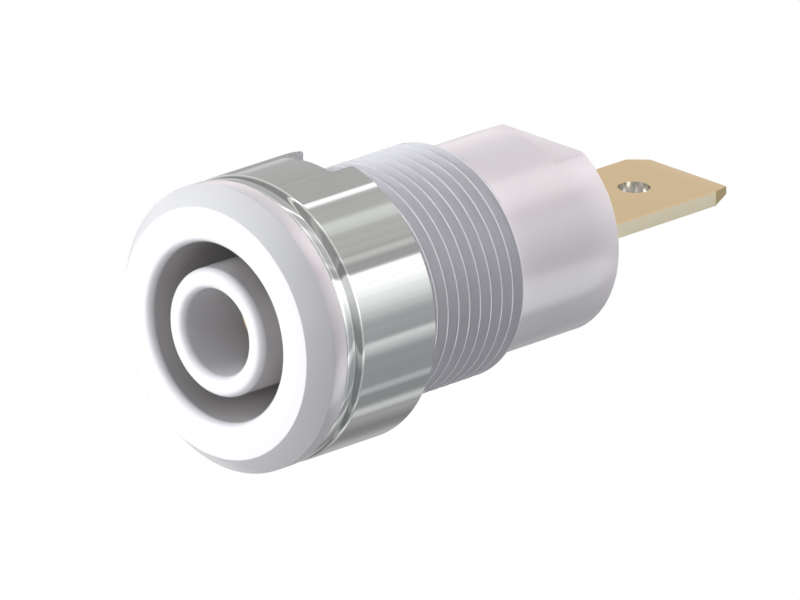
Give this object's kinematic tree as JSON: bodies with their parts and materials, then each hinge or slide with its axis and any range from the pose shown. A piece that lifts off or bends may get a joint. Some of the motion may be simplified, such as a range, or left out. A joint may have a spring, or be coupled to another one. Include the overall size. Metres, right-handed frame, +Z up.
{
  "type": "safety banana socket",
  "caption": "Panel-mounting 4 mm safety socket: white moulded body with a shrouded bore, fine thread, ring nut, washer and a flat tab at the rear.",
  "frame": {"origin": "on the socket's axis, in the plane of the flange's rear face, which seats on the panel", "axes": "+Y along the axis from the flange towards the tab, +Z up across the tab's faces, +X along the tab's width"},
  "size_m": [0.0144, 0.0332, 0.0144],
  "materials": {
    "white_plastic": "smooth white moulding with a soft gloss",
    "insulator": "plain white moulding",
    "contact_gold": "turned and gold-plated",
    "tab_gold": "stamped and gold-plated, satin",
    "washer_nickel": "nickel-plated, bright",
    "nut_nickel": "turned and nickel-plated, bright"
  },
  "bodies": {
    "root": {"housing": "white_plastic", "contact_tube": "contact_gold", "flat_tab": "tab_gold", "rear_insulator": "insulator"},
    "washer": {"washer": "washer_nickel"},
    "nut": {"ring_nut": "nut_nickel"}
  },
  "joints": [
    {"name": "washer_slide", "type": "slide", "parent": "root", "child": "washer", "axis": [0, 1, 0], "range_m": [0, 0.0075]},
    {"name": "nut_turn", "type": "hinge", "parent": "washer", "child": "nut", "pos_m": [0, 0.00339, 0], "axis": [0, 1, 0], "range_deg": [0, 3600]}
  ],
  "couplings": [
    {"joint": "washer_slide", "follows": "nut_turn", "m_per_rad": 0.00011937}
  ]
}
